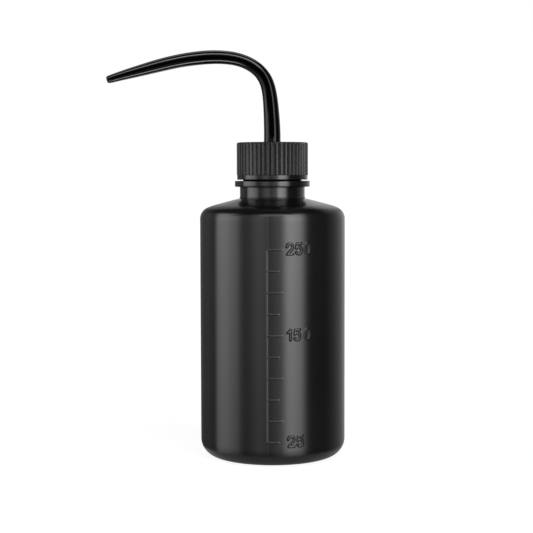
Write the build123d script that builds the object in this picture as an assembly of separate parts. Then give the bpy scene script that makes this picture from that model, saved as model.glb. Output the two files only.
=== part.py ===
from build123d import *
import math
import os

# Wash bottle, 250 ml: a squeezable blow-moulded bottle, a ribbed screw cap, a bent
# tapering spout held under the cap by its disc flange, a dip tube pressed into the
# spout and a sealing washer. Millimetres, +Z up, origin at the centre of the foot ring,
# spout pointing along -X, volume scale on the -Y side.
# In names, R is a radius, W a width, T a thickness and Z a height above the foot ring.

# ---------------------------------------------------------------- driving dimensions
# bottle body
BOTTLE_R = 31.0
WALL = 0.9
CORNER_R = 7.5           # base corner, outside
FOOT_IN_R = 21.5         # foot ring, inner edge of the flat
FOOT_IN_INSET = 0.2      # the inside flat ends this much nearer the axis
PUSH_UP = 2.0            # height of the hollow under the base
SHOULDER_R = 5.25        # corner between wall and shoulder
SHOULDER_DEG = 67.0      # the corner's arc runs up to here
BLEND_R = 28.0           # gentler arc from the corner to the cone
CONE_R, CONE_Z, CONE_SLOPE = 24.34, 107.92, 0.2645   # a point on the shoulder cone, its slope
CONE_END_R, CONE_IN_END_R = 14.6, 14.3               # upper ends of the cone, outside and inside
# pinch-off weld under the base: x, lower z, upper z
WELD = [(-15.5, 0.95, 1.3), (-9, 1.3, 2.1), (0, 1.5, 2.4), (9, 1.3, 2.1), (15.5, 0.95, 1.3)]
WELD_HALF_T = 0.4
WELD_DEG = 86            # its direction, from +X
# bottle neck
NECK_R, NECK_IN_R = 13.86, 12.9
NECK_BASE_Z = 110.7
NECK_STEP_R, NECK_RING_R = 13.9, 14.08               # step and thin ring at the neck's foot
BEAD_R, BEAD_Z0, BEAD_Z1 = 16.02, 115.6, 118.1
BEAD_CHAMFER = 0.3
RIM_Z = 130.7
RIM_CHAMFER = 0.35
BORE_R = 11.0
# screw thread, right-hand, six turns to the inch
PITCH = 25.4 / 6
TURNS = 1.5
THREAD_ROOT_W, THREAD_CREST_W = 2.0, 0.9
THREAD_EMBED = 0.3                                   # depth of the root sunk in the wall
BOTTLE_ROOT_R, BOTTLE_CREST_R = 12.47, 13.67
BOTTLE_THREAD_Z = 121.7                              # centre of the first thread end
CAP_ROOT_R, CAP_CREST_R = 13.95, 12.73
FLANK_GAP = 0.1                                      # axial play on the loaded flank
# raised volume scale; angles in degrees from -Y towards +X
MARK_H = 0.35                                        # height above the wall
MARK_EMBED = 0.25                                    # depth sunk in the wall
MARK_W = 0.9                                         # width of the lines
MARKS = 10
TICK_Z25, TICK_STEP = 10.8, 8.807                    # 25 ml mark, and the step per 25 ml
LINE_DEG = -4.2                                      # vertical line
LONG_DEG, SHORT_DEG = 8.6, 6.1                       # ends of the long and the short marks
DIGIT_H, DIGIT_W, STROKE = 5.5, 3.4, 0.95
DIGIT_INSET, DIGIT_BLOCK_T = 1.2, 3.0                # digit blocks before trimming to the wall
# number, index of its mark, angle of each digit
NUMBERS = [("250", 9, (14.4, 21.9, 29.1)), ("150", 5, (13.9, 20.6, 29.0)), ("25", 0, (15.7, 22.9))]
TRIM_RING_Z, TRIM_RING_H = 60, 130                   # mid-height and height of the trimming ring
# cap
CAP_Z0, CAP_RIM_Z, CAP_TOP_Z = 118.6, 120.6, 134.45
CAP_RIM_R, RIB_R, GROOVE_R = 15.05, 15.2, 14.78
RIBS = 48
RIB_CREST_W = 1.2
RIB_FLANK_DEG, RIB_ROUND_DEG = 0.35, 0.3             # angles taken by flank and eased crest edge
CAP_PANEL = 1.45
CAP_HOLE_R = 3.65
# washer
WASHER_R, WASHER_IN_R, WASHER_T = 13.3, 4.68, 1.0
# spout
FLANGE_R, FLANGE_T = 12.4, 1.25
HUB_R, HUB_LEN = 4.6, 9.0
HUB_CHAMFER = 0.4
SOCKET_R = 2.51
PASSAGE_R = 1.7
BORE_OVERRUN = 1.0       # the cutting bore runs this far past both ends of the tube
TIP_FILLET = 0.45
# dip tube
TUBE_R, TUBE_IN_R = 2.5, 1.7
TUBE_END_Z = 4.2
TUBE_CUT_DEG = 28

WASHER_TOP_Z = RIM_Z + WASHER_T
FLANGE_TOP_Z = WASHER_TOP_Z + FLANGE_T
HUB_END_Z = WASHER_TOP_Z - HUB_LEN
CAP_IN_Z = CAP_TOP_Z - CAP_PANEL

# spout stations from the flange to the tip: centreline x, z, outside radius, bore radius
SPOUT = [
    (0.00, 134.60, 3.56, 2.00), (0.00, 138.40, 3.53, 2.00), (-0.09, 141.80, 3.48, 1.98),
    (-0.28, 145.87, 3.38, 1.94), (-0.64, 150.84, 3.25, 1.90), (-1.26, 155.78, 3.12, 1.86),
    (-2.62, 160.50, 3.03, 1.84), (-5.40, 164.60, 2.91, 1.82), (-9.38, 167.58, 2.84, 1.80),
    (-14.01, 169.47, 2.83, 1.78), (-18.90, 170.40, 2.88, 1.76), (-23.86, 170.68, 2.92, 1.74),
    (-28.84, 170.50, 2.94, 1.72), (-33.78, 169.98, 2.92, 1.68), (-38.70, 169.22, 2.89, 1.62),
    (-43.57, 168.23, 2.84, 1.55), (-48.41, 167.08, 2.75, 1.46), (-53.21, 165.84, 2.58, 1.35),
    (-58.03, 164.55, 2.36, 1.22), (-62.82, 163.26, 2.09, 1.08), (-67.60, 161.90, 1.80, 0.92),
    (-70.40, 161.08, 1.62, 0.85),
]

# digit centrelines, as fractions of the half width and half height between stroke centres
TWO_CURVE = [
    (-1, 0.42), (-0.86, 0.80), (-0.42, 0.98), (0.12, 1), (0.68, 0.86),
    (1, 0.46), (0.86, 0.08), (0.35, -0.28), (-0.35, -0.62), (-0.80, -1),
]
FIVE_BOWL = [
    (-0.98, 0.06), (-0.45, 0.30), (0.12, 0.34), (0.72, 0.14), (1, -0.34),
    (0.72, -0.82), (0.05, -1), (-0.62, -0.86), (-1, -0.46),
]


# ---------------------------------------------------------------- shared helpers
def solid_of(shape):
    """The one solid of a shape, so that each file holds exactly one solid."""
    solids = shape.solids()
    if len(solids) != 1:
        raise ValueError(f"expected one solid, got {len(solids)}")
    return solids[0]


def polygon(points):
    return make_face(Polyline(*points, close=True))


def xz_polygon(points):
    """A face in the XZ plane from (x, z) points."""
    return polygon([(x, 0, z) for x, z in points])


def turned(points, degrees=360):
    """A profile of (radius, z) points revolved about Z, starting at +X."""
    return revolve(xz_polygon(points), axis=Axis.Z, revolution_arc=degrees)


def thread_half_width(root_r, crest_r, r):
    """Half the axial width of a thread at radius r."""
    share = (r - root_r) / (crest_r - root_r)
    return (THREAD_ROOT_W - (THREAD_ROOT_W - THREAD_CREST_W) * share) / 2


def thread(root_r, crest_r, z):
    """A trapezoid swept along a right-hand helix, its root sunk into the wall."""
    outward = 1 if crest_r > root_r else -1
    base_r = root_r - outward * THREAD_EMBED
    base_half = thread_half_width(root_r, crest_r, base_r)
    crest_half = THREAD_CREST_W / 2
    section = xz_polygon([(base_r, z - base_half), (crest_r, z - crest_half),
                          (crest_r, z + crest_half), (base_r, z + base_half)])
    helix = Helix(pitch=PITCH, height=PITCH * TURNS, radius=(root_r + crest_r) / 2)
    return sweep(section, path=Pos(0, 0, z) * helix, is_frenet=True)


# ---------------------------------------------------------------- volume scale
def smoothed(points, steps=5):
    """A Catmull-Rom curve through the points, as a finer list of points."""
    padded = [points[0], *points, points[-1]]
    curve = []
    for before, start, end, after in zip(padded, padded[1:], padded[2:], padded[3:]):
        for k in range(steps):
            t = k / steps
            curve.append(tuple(
                0.5 * (2 * p1 + (p2 - p0) * t + (2 * p0 - 5 * p1 + 4 * p2 - p3) * t * t
                       + (3 * p1 - p0 - 3 * p2 + p3) * t ** 3)
                for p0, p1, p2, p3 in zip(before, start, end, after)))
    curve.append(tuple(points[-1]))
    return curve


def stroke_face(line):
    """A band of the stroke's width along a line of points."""
    left, right = [], []
    for i, (x, y) in enumerate(line):
        before = line[max(i - 1, 0)]
        after = line[min(i + 1, len(line) - 1)]
        dx, dy = after[0] - before[0], after[1] - before[1]
        length = math.hypot(dx, dy)
        side_x, side_y = -dy / length * STROKE / 2, dx / length * STROKE / 2
        left.append((x + side_x, y + side_y))
        right.append((x - side_x, y - side_y))
    return polygon(left + right[::-1])


def digit_faces(digit):
    """The faces that make up one digit in its own plane, centred on the origin."""
    # half width and half height between stroke centres
    half_w, half_h = (DIGIT_W - STROKE) / 2, (DIGIT_H - STROKE) / 2

    def curved_stroke(fractions):
        return stroke_face(smoothed([(half_w * x, half_h * y) for x, y in fractions]))

    if digit == "0":
        return [Ellipse(DIGIT_W / 2, DIGIT_H / 2)
                - Ellipse(DIGIT_W / 2 - STROKE, DIGIT_H / 2 - STROKE)]
    if digit == "1":
        return [polygon([
            (0.85, -DIGIT_H / 2), (0.85, DIGIT_H / 2), (0.15, DIGIT_H / 2),
            (-0.35, half_h - 0.35), (-1.15, half_h - 0.75), (-1.15, half_h - 1.6),
            (-0.1, half_h - 1.05), (-0.1, -DIGIT_H / 2)])]
    if digit == "2":
        return [curved_stroke(TWO_CURVE), Pos(0, -half_h) * Rectangle(DIGIT_W, STROKE)]
    if digit == "5":
        bar = Pos(0.15, half_h) * Rectangle(DIGIT_W - 0.75, STROKE)
        stem = [(-half_w * 0.72, half_h + 0.3), (-half_w * 0.92, half_h * 0.1),
                (-half_w * 0.94, -0.1)]
        return [bar, stroke_face(stem), curved_stroke(FIVE_BOWL)]
    raise ValueError(digit)


def make_digit(digit, degrees, z):
    """A digit's block standing through the wall, facing out."""
    first, *others = [extrude(face, amount=DIGIT_BLOCK_T) for face in digit_faces(digit)]
    block = first
    for other in others:
        block += other
    upright = Plane(origin=(0, 0, 0), x_dir=(1, 0, 0), z_dir=(0, -1, 0))
    return Rot(0, 0, degrees) * (Pos(0, -(BOTTLE_R - DIGIT_INSET), z) * (upright * block))


def wall_pad(start_deg, end_deg, z0, z1):
    """A pad wrapped on the wall between two angles from -Y towards +X."""
    inner, outer = BOTTLE_R - MARK_EMBED, BOTTLE_R + MARK_H
    pad = turned([(inner, z0), (outer, z0), (outer, z1), (inner, z1)], end_deg - start_deg)
    return Rot(0, 0, start_deg - 90) * pad


def add_scale(body):
    """One vertical line, the marks across it and three numbers."""
    half_w = MARK_W / 2
    half_deg = math.degrees(half_w / BOTTLE_R)
    mark_z = [TICK_Z25 + i * TICK_STEP for i in range(MARKS)]
    body += wall_pad(LINE_DEG - half_deg, LINE_DEG + half_deg,
                     mark_z[0] - half_w, mark_z[-1] + half_w)
    for i, z in enumerate(mark_z):
        end_deg = LONG_DEG if i % 2 else SHORT_DEG
        body += wall_pad(LINE_DEG, end_deg, z - half_w, z + half_w)
    ring = Pos(0, 0, TRIM_RING_Z) * (Cylinder(BOTTLE_R + MARK_H, TRIM_RING_H)
                                     - Cylinder(BOTTLE_R - MARK_EMBED, TRIM_RING_H))
    for number, mark, angles in NUMBERS:
        for digit, degrees in zip(number, angles):
            body += make_digit(digit, degrees, mark_z[mark]) & ring
    return body


# ---------------------------------------------------------------- bottle
def bottle_blank():
    """The turned bottle, without thread, weld and scale."""
    # wall, corner arc, gentler arc and cone are tangent; the inside runs parallel to them
    cone_angle = math.atan(CONE_SLOPE)
    normal = math.pi / 2 - cone_angle            # the cone's normal over the horizontal
    normal_deg = math.degrees(normal)
    corner_end = math.radians(SHOULDER_DEG)
    corner_x = BOTTLE_R - SHOULDER_R
    blend_x = corner_x - (BLEND_R - SHOULDER_R) * math.cos(corner_end)
    blend_z = CONE_Z - (BLEND_R + (blend_x - CONE_R) * math.sin(cone_angle)) / math.cos(cone_angle)
    corner_z = blend_z + (BLEND_R - SHOULDER_R) * math.sin(corner_end)
    blend_centre, corner_centre = (blend_x, blend_z), (corner_x, corner_z)

    def cone_start(radius):
        """Where an arc about the blend centre meets the cone."""
        return (blend_x + radius * math.cos(normal), blend_z + radius * math.sin(normal))

    cone_in = cone_start(BLEND_R - WALL)
    cone_end_z = CONE_Z + (CONE_R - CONE_END_R) * CONE_SLOPE
    cone_in_end = (CONE_IN_END_R, cone_in[1] + (cone_in[0] - CONE_IN_END_R) * CONE_SLOPE)

    # the hollow under the base is a shallow spherical cap
    hollow_r = (FOOT_IN_R ** 2 + PUSH_UP ** 2) / (2 * PUSH_UP)
    hollow_deg = math.degrees(math.asin(FOOT_IN_R / hollow_r))
    hollow_z = PUSH_UP - hollow_r
    floor_r = hollow_r + WALL
    floor_x = FOOT_IN_R - FOOT_IN_INSET
    floor_deg = math.degrees(math.asin(floor_x / floor_r))
    floor_z = hollow_z + math.sqrt(floor_r ** 2 - floor_x ** 2)
    foot_x = BOTTLE_R - CORNER_R

    outline = [
        # outside, from the middle of the base up to the shoulder
        CenterArc((0, hollow_z), hollow_r, 90, -hollow_deg),
        Line((FOOT_IN_R, 0), (foot_x, 0)),
        CenterArc((foot_x, CORNER_R), CORNER_R, -90, 90),
        Line((BOTTLE_R, CORNER_R), (BOTTLE_R, corner_z)),
        CenterArc(corner_centre, SHOULDER_R, 0, SHOULDER_DEG),
        CenterArc(blend_centre, BLEND_R, SHOULDER_DEG, normal_deg - SHOULDER_DEG),
        Polyline(
            # cone, step and thin ring at the neck's foot
            cone_start(BLEND_R), (CONE_END_R, cone_end_z), (NECK_STEP_R, cone_end_z - 0.1),
            (NECK_STEP_R, NECK_BASE_Z - 0.05), (NECK_RING_R, NECK_BASE_Z + 0.05),
            (NECK_RING_R, NECK_BASE_Z + 0.2), (NECK_R, NECK_BASE_Z + 0.4),
            # bead
            (NECK_R, BEAD_Z0), (BEAD_R - BEAD_CHAMFER, BEAD_Z0), (BEAD_R, BEAD_Z0 + BEAD_CHAMFER),
            (BEAD_R, BEAD_Z1 - BEAD_CHAMFER), (BEAD_R - BEAD_CHAMFER, BEAD_Z1),
            # threaded neck and rim
            (BOTTLE_ROOT_R, BEAD_Z1), (BOTTLE_ROOT_R, RIM_Z - RIM_CHAMFER),
            (BOTTLE_ROOT_R - RIM_CHAMFER, RIM_Z), (BORE_R + RIM_CHAMFER, RIM_Z),
            # bore, down to the inside of the cone
            (BORE_R, RIM_Z - RIM_CHAMFER), (BORE_R, BEAD_Z1 + 0.4), (NECK_IN_R, BEAD_Z0 + 0.4),
            (NECK_IN_R, NECK_BASE_Z + 0.1), cone_in_end, cone_in),
        # inside of the shoulder, wall and base
        CenterArc(blend_centre, BLEND_R - WALL, normal_deg, SHOULDER_DEG - normal_deg),
        CenterArc(corner_centre, SHOULDER_R - WALL, SHOULDER_DEG, -SHOULDER_DEG),
        Line((BOTTLE_R - WALL, corner_z), (BOTTLE_R - WALL, CORNER_R)),
        CenterArc((foot_x, CORNER_R), CORNER_R - WALL, 0, -90),
        Line((foot_x, WALL), (floor_x, floor_z)),
        CenterArc((0, hollow_z), floor_r, 90 - floor_deg, floor_deg),
        Line((0, PUSH_UP + WALL), (0, PUSH_UP)),
    ]
    edges = [edge for curve in outline for edge in curve.edges()]
    return revolve(Plane.XZ * make_face(Wire(edges)), axis=Axis.Z)


def make_bottle():
    body = bottle_blank()
    body += thread(BOTTLE_ROOT_R, BOTTLE_CREST_R, BOTTLE_THREAD_Z)
    # the weld lies along the mould's parting plane
    weld = xz_polygon([(x, low) for x, low, _ in WELD] + [(x, high) for x, _, high in WELD[::-1]])
    body += Rot(0, 0, WELD_DEG) * extrude(weld, amount=WELD_HALF_T, both=True)
    return solid_of(add_scale(body))


# ---------------------------------------------------------------- screw cap
def cap_ribs():
    """A toothed ring, trimmed to the cap's rounded top edge."""
    crest = math.degrees(RIB_CREST_W / 2 / RIB_R)
    foot = crest + RIB_FLANK_DEG
    # one rib: angle from its middle, radius
    rib = [(-foot, GROOVE_R - 0.05), (-crest, RIB_R - 0.06), (-crest + RIB_ROUND_DEG, RIB_R),
           (crest - RIB_ROUND_DEG, RIB_R), (crest, RIB_R - 0.06), (foot, GROOVE_R - 0.05)]
    points = []
    for i in range(RIBS):
        for offset, r in rib:
            angle = math.radians((i + 0.5) * 360 / RIBS + offset)
            points.append((r * math.cos(angle), r * math.sin(angle)))
    teeth = polygon(points) - Circle(GROOVE_R - 0.4)
    teeth = Pos(0, 0, CAP_RIM_Z - 0.05) * extrude(teeth, amount=CAP_TOP_Z - CAP_RIM_Z)
    trim = turned([
        (0, CAP_RIM_Z - 0.3), (RIB_R + 1, CAP_RIM_Z - 0.3), (RIB_R + 1, CAP_TOP_Z - 0.62),
        (RIB_R + 0.02, CAP_TOP_Z - 0.62), (RIB_R - 0.12, CAP_TOP_Z - 0.26),
        (RIB_R - 0.36, CAP_TOP_Z - 0.06), (RIB_R - 0.62, CAP_TOP_Z), (0, CAP_TOP_Z)])
    return teeth & trim


def make_cap():
    cap = turned([
        # plain rim
        (CAP_ROOT_R + 0.45, CAP_Z0), (CAP_RIM_R - 0.25, CAP_Z0), (CAP_RIM_R, CAP_Z0 + 0.25),
        (CAP_RIM_R, CAP_RIM_Z - 0.1), (CAP_RIM_R - 0.1, CAP_RIM_Z),
        # wall between the ribs, and the top
        (GROOVE_R, CAP_RIM_Z), (GROOVE_R, CAP_TOP_Z - 0.5),
        (GROOVE_R - 0.15, CAP_TOP_Z - 0.15), (GROOVE_R - 0.5, CAP_TOP_Z),
        # spout hole
        (CAP_HOLE_R + 0.3, CAP_TOP_Z), (CAP_HOLE_R, CAP_TOP_Z - 0.3),
        (CAP_HOLE_R, CAP_IN_Z + 0.8), (CAP_HOLE_R + 0.8, CAP_IN_Z),
        # inside
        (CAP_ROOT_R - 0.6, CAP_IN_Z), (CAP_ROOT_R, CAP_IN_Z - 0.6), (CAP_ROOT_R, CAP_Z0 + 0.45)])
    cap += cap_ribs()
    # the cap thread's upper flank bears on the bottle thread's lower flank
    contact_r = (BOTTLE_ROOT_R + BOTTLE_CREST_R) / 2
    cap_thread_z = (BOTTLE_THREAD_Z - FLANK_GAP
                    - thread_half_width(BOTTLE_ROOT_R, BOTTLE_CREST_R, contact_r)
                    - thread_half_width(CAP_ROOT_R, CAP_CREST_R, contact_r))
    cap += thread(CAP_ROOT_R, CAP_CREST_R, cap_thread_z)
    return solid_of(cap)


# ---------------------------------------------------------------- spout
def tube_loft(stations):
    """A loft through circles square to the centreline, from (x, z, radius) stations."""
    sections = []
    for i, (x, z, radius) in enumerate(stations):
        before = stations[max(i - 1, 0)]
        after = stations[min(i + 1, len(stations) - 1)]
        along = Vector(after[0] - before[0], 0, after[1] - before[1]).normalized()
        plane = Plane(origin=(x, 0, z), x_dir=(0, 1, 0), z_dir=along)
        sections.append((plane * Circle(radius)).face())
    return loft(sections)


def make_spout():
    _, foot_z, foot_r, foot_bore_r = SPOUT[0]
    base = turned([
        # socket for the dip tube, and the hub
        (PASSAGE_R, RIM_Z), (SOCKET_R, RIM_Z), (SOCKET_R, HUB_END_Z + HUB_CHAMFER),
        (SOCKET_R + HUB_CHAMFER, HUB_END_Z), (HUB_R - HUB_CHAMFER, HUB_END_Z),
        (HUB_R, HUB_END_Z + HUB_CHAMFER), (HUB_R, WASHER_TOP_Z),
        # flange
        (FLANGE_R - 0.2, WASHER_TOP_Z), (FLANGE_R, WASHER_TOP_Z + 0.2),
        (FLANGE_R, FLANGE_TOP_Z - 0.3), (FLANGE_R - 0.3, FLANGE_TOP_Z),
        # foot of the tube, and down its bore
        (4.15, FLANGE_TOP_Z), (3.75, FLANGE_TOP_Z + 0.16), (3.58, FLANGE_TOP_Z + 0.55),
        (foot_r, foot_z), (foot_bore_r, foot_z), (foot_bore_r, FLANGE_TOP_Z),
        (PASSAGE_R, FLANGE_TOP_Z - 0.3)])
    outer = tube_loft([(x, z, r) for x, z, r, _ in SPOUT])
    # the bore runs on past both ends so that it opens cleanly
    before_x, before_z, _, _ = SPOUT[-2]
    tip_x, tip_z, tip_r, tip_bore_r = SPOUT[-1]
    dx, dz = tip_x - before_x, tip_z - before_z
    overrun = BORE_OVERRUN / math.hypot(dx, dz)
    bore = tube_loft([
        (0, foot_z - BORE_OVERRUN, foot_bore_r),
        *[(x, z, r) for x, z, _, r in SPOUT],
        (tip_x + dx * overrun, tip_z + dz * overrun, tip_bore_r)])
    tube = outer - bore
    # round the outer lip of the tip, if the loft left its edge as a true circle
    tip = Vector(tip_x, 0, tip_z)
    lip = [e for e in tube.edges()
           if (e.center() - tip).length < 0.6 and e.geom_type == GeomType.CIRCLE
           and abs(e.radius - tip_r) < 0.05]
    if lip:
        tube = fillet(lip, TIP_FILLET)
    return solid_of(base + tube)


# ---------------------------------------------------------------- dip tube, washer
def make_dip_tube():
    length = RIM_Z - TUBE_END_Z
    pipe = Cylinder(TUBE_R, length) - Cylinder(TUBE_IN_R, length)
    tube = Pos(0, 0, TUBE_END_Z + length / 2) * pipe
    # oblique lower end, so that it can't seal against the base
    cut = Pos(0, 0, TUBE_END_Z) * (Rot(0, TUBE_CUT_DEG, 0) * (Pos(0, 0, -5) * Box(20, 20, 10)))
    return solid_of(tube - cut)


def make_washer():
    ring = Cylinder(WASHER_R, WASHER_T) - Cylinder(WASHER_IN_R, WASHER_T)
    return solid_of(Pos(0, 0, RIM_Z + WASHER_T / 2) * ring)


os.makedirs("parts", exist_ok=True)
parts = {
    "bottle": make_bottle(),
    "screw_cap": make_cap(),
    "spout": make_spout(),
    "dip_tube": make_dip_tube(),
    "sealing_washer": make_washer(),
}
for name, part in parts.items():
    part.label = name
    export_step(part, f"parts/{name}.step")
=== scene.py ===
"""A black plastic bottle with a ribbed screw cap and a long bent spout.

The bottle stands on z = 0 about the Z axis. Its front, with the raised scale, faces -Y and the
camera. The spout rises out of the cap and bends over towards -X. Shapes are worked out in
millimetres and scaled to metres; lights, stage and camera are in metres unless marked.
Angles round the bottle are degrees from -Y towards +X.
"""
import math

import bmesh
import bpy
import numpy as np
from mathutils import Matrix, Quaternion, Vector


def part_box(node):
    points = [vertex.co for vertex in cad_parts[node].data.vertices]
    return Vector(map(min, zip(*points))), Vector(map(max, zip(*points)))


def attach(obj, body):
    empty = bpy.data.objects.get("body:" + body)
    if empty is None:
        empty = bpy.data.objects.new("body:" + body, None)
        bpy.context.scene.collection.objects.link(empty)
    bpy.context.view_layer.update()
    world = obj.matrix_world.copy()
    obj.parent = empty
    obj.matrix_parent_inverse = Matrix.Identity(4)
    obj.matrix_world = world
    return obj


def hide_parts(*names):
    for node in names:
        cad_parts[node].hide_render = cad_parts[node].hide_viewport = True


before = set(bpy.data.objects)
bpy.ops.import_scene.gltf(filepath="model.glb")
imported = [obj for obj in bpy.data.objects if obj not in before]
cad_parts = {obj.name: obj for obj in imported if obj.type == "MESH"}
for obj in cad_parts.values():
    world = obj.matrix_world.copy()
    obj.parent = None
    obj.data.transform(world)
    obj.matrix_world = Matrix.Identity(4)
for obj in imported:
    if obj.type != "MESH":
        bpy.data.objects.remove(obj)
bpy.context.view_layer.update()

MM = 0.001
scene = bpy.context.scene


# ------------------------------------------------------------------ main dimensions, mm
def box_mm(piece):
    return [np.array(corner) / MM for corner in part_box(piece)]


bottle_hi = box_mm("bottle")[1]
cap_lo, cap_hi = box_mm("screw_cap")
tube_lo, tube_hi = box_mm("dip_tube")
washer_lo, washer_hi = box_mm("sealing_washer")

BODY_R = round(float(bottle_hi[0]), 2)
MM_PER_DEG = math.radians(1) * BODY_R   # along the wall
RIM_Z = float(bottle_hi[2])             # top of the neck
CAP_Z0, CAP_Z1 = float(cap_lo[2]), float(cap_hi[2])
HUB_Z0 = float(box_mm("spout")[0][2])
TUBE_Z0, TUBE_Z1 = float(tube_lo[2]), float(tube_hi[2])
WASHER_Z0, WASHER_Z1 = float(washer_lo[2]), float(washer_hi[2])
WASHER_R = float(washer_hi[0])

WALL = 0.9
CORNER_R = 7.5                          # base corner
FOOT_R = 21.5                           # inner edge of the foot ring
HOLLOW = 2.0                            # rise of the hollow under the base
WELD_H = 0.5                            # weld across the hollow
PARTING = -3.8                          # angle of the mould parting line

NECK_R, NECK_Z = 13.86, 110.7
BEAD_R, BEAD_Z0, BEAD_Z1 = 16.02, 115.6, 118.1
MOUTH_R = 11.0

# screw thread: half widths at its root and crest, heights over its root
PITCH = 25.4 / 6
TURNS = 1.5
ROOT_HALF, CREST_HALF = 1.0, 0.45
NECK_ROOT_R, NECK_THREAD_H, NECK_THREAD_Z = 12.47, 1.2, 121.7
CAP_INNER_R, CAP_THREAD_H = 13.95, 1.22

# raised scale
TICK0, TICK_STEP = 10.76, 8.825         # 25 ml mark and the step per 25 ml
TICK_ENDS = [4.6, 7.1] * 5              # angle where each mark ends
LINE_ANGLE = -4.65                      # the upright line, where every mark starts
LINE_H, DIGIT_H = 0.16, 0.35            # heights over the wall
LIFT = 0.34                             # numbers stand this much above their mark
# text, index of its mark, angle of each digit
NUMBERS = (("250", 9, (13.0, 19.9, 27.1)),
           ("150", 5, (12.7, 18.6, 27.0)),
           ("25", 0, (13.8, 20.9)))


# ------------------------------------------------------------------ geometry helpers
def smoothstep(x):
    x = np.clip(x, 0.0, 1.0)
    return x * x * (3 - 2 * x)


def rounded(corners, max_len=None, arc_step=15.0):
    """A profile through (r, z, fillet radius) corners, with the corners rounded.

    arc_step is in degrees; pieces longer than max_len are divided.
    """
    corners = [(np.array(c[:2], float), float(c[2])) for c in corners]
    out = [corners[0][0]]
    for (before, _), (corner, radius), (after, _) in zip(corners, corners[1:], corners[2:]):
        back, ahead = before - corner, after - corner
        back_len, ahead_len = np.linalg.norm(back), np.linalg.norm(ahead)
        back, ahead = back / back_len, ahead / ahead_len
        angle = math.acos(max(-1, min(1, float(back @ ahead))))
        if radius <= 0 or angle > math.pi - 1e-3:
            out.append(corner)
            continue
        cut = min(radius / math.tan(angle / 2), back_len * 0.49, ahead_len * 0.49)
        radius = cut * math.tan(angle / 2)
        bisector = (back + ahead) / np.linalg.norm(back + ahead)
        centre = corner + bisector * radius / math.sin(angle / 2)
        count = max(3, int(math.ceil(math.degrees(math.pi - angle) / arc_step)))
        start = math.atan2(*(corner + back * cut - centre)[::-1])
        end = math.atan2(*(corner + ahead * cut - centre)[::-1])
        sweep = (end - start + math.pi) % (2 * math.pi) - math.pi
        for k in range(count + 1):
            turn = start + sweep * k / count
            out.append(centre + radius * np.array([math.cos(turn), math.sin(turn)]))
    out.append(corners[-1][0])
    if max_len:
        divided = [out[0]]
        for point in out[1:]:
            last = divided[-1]
            count = max(1, int(math.ceil(np.linalg.norm(point - last) / max_len)))
            for k in range(1, count + 1):
                divided.append(last + (point - last) * k / count)
        out = divided
    keep = [out[0]]
    for point in out[1:]:
        if np.linalg.norm(point - keep[-1]) > 1e-4:
            keep.append(point)
    return np.array(keep)


def arc(centre_r, centre_z, radius, start, end, count):
    turn = np.radians(np.linspace(start, end, count))
    return np.c_[centre_r + radius * np.cos(turn), centre_z + radius * np.sin(turn)]


def on_circle(angles, radius, z):
    turn = np.radians(angles)
    return np.stack([radius * np.sin(turn), -radius * np.cos(turn), z + 0 * turn], -1)


def ring_faces(first, second, count):
    """Quads between two closed rings, given the first vertex of each."""
    return [(first + i, first + (i + 1) % count, second + (i + 1) % count, second + i)
            for i in range(count)]


def closed_loft(rings):
    """Vertices and faces of equal rings joined in turn, the last one to the first."""
    count = len(rings[0])
    faces = []
    for k in range(len(rings)):
        faces += ring_faces(k * count, (k + 1) % len(rings) * count, count)
    return np.concatenate(rings), faces


def add_object(name, data):
    ob = bpy.data.objects.new(name, data)
    scene.collection.objects.link(ob)
    return ob


def product_object(name, verts, faces, material, body, slot, piece):
    """A smooth mesh in place of a CAD piece; verts are in mm."""
    mesh = bpy.data.meshes.new(name)
    mesh.from_pydata((np.asarray(verts) * MM).tolist(), [], faces)
    mesh.validate(verbose=False)
    mesh.update()
    ob = add_object(name, mesh)
    mesh.polygons.foreach_set("use_smooth", [True] * len(mesh.polygons))
    mesh.materials.append(material)
    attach(ob, body)
    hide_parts(piece)
    return ob


def point_attribute(ob, name, values):
    attribute = ob.data.attributes.new(name, "FLOAT", "POINT")
    attribute.data.foreach_set("value", values)


def face_outwards(mesh):
    bm = bmesh.new()
    bm.from_mesh(mesh)
    bmesh.ops.recalc_face_normals(bm, faces=bm.faces)
    bm.to_mesh(mesh)
    bm.free()


# ------------------------------------------------------------------ digits of the scale
DIGIT_TALL, DIGIT_WIDE, STROKE = 5.3, 3.45, 1.08
HALF_W, HALF_H = (DIGIT_WIDE - STROKE) / 2, (DIGIT_TALL - STROKE) / 2


def catmull(points, per_span=10):
    """A Catmull-Rom curve through the points."""
    ends = [points[0]] + list(points) + [points[-1]]
    out = []
    for i in range(1, len(ends) - 2):
        a, b, c, d = (np.array(point, float) for point in ends[i - 1:i + 3])
        for k in range(per_span):
            t = k / per_span
            out.append(0.5 * (2 * b + (c - a) * t + (2 * a - 5 * b + 4 * c - d) * t * t
                              + (3 * b - a - 3 * c + d) * t ** 3))
    out.append(np.array(points[-1], float))
    return np.array(out)


def squared_ellipse(half_w, half_h, count=40, power=0.86):
    """An ellipse, made slightly square by a power under 1."""
    turn = np.linspace(0, 2 * math.pi, count)
    c, s = np.cos(turn), np.sin(turn)
    return np.c_[half_w * np.sign(c) * np.abs(c) ** power,
                 half_h * np.sign(s) * np.abs(s) ** power]


def in_digit(*points):
    """Points given as parts of a digit's half width and half height, in mm."""
    return np.array(points) * (HALF_W, HALF_H)


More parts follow.
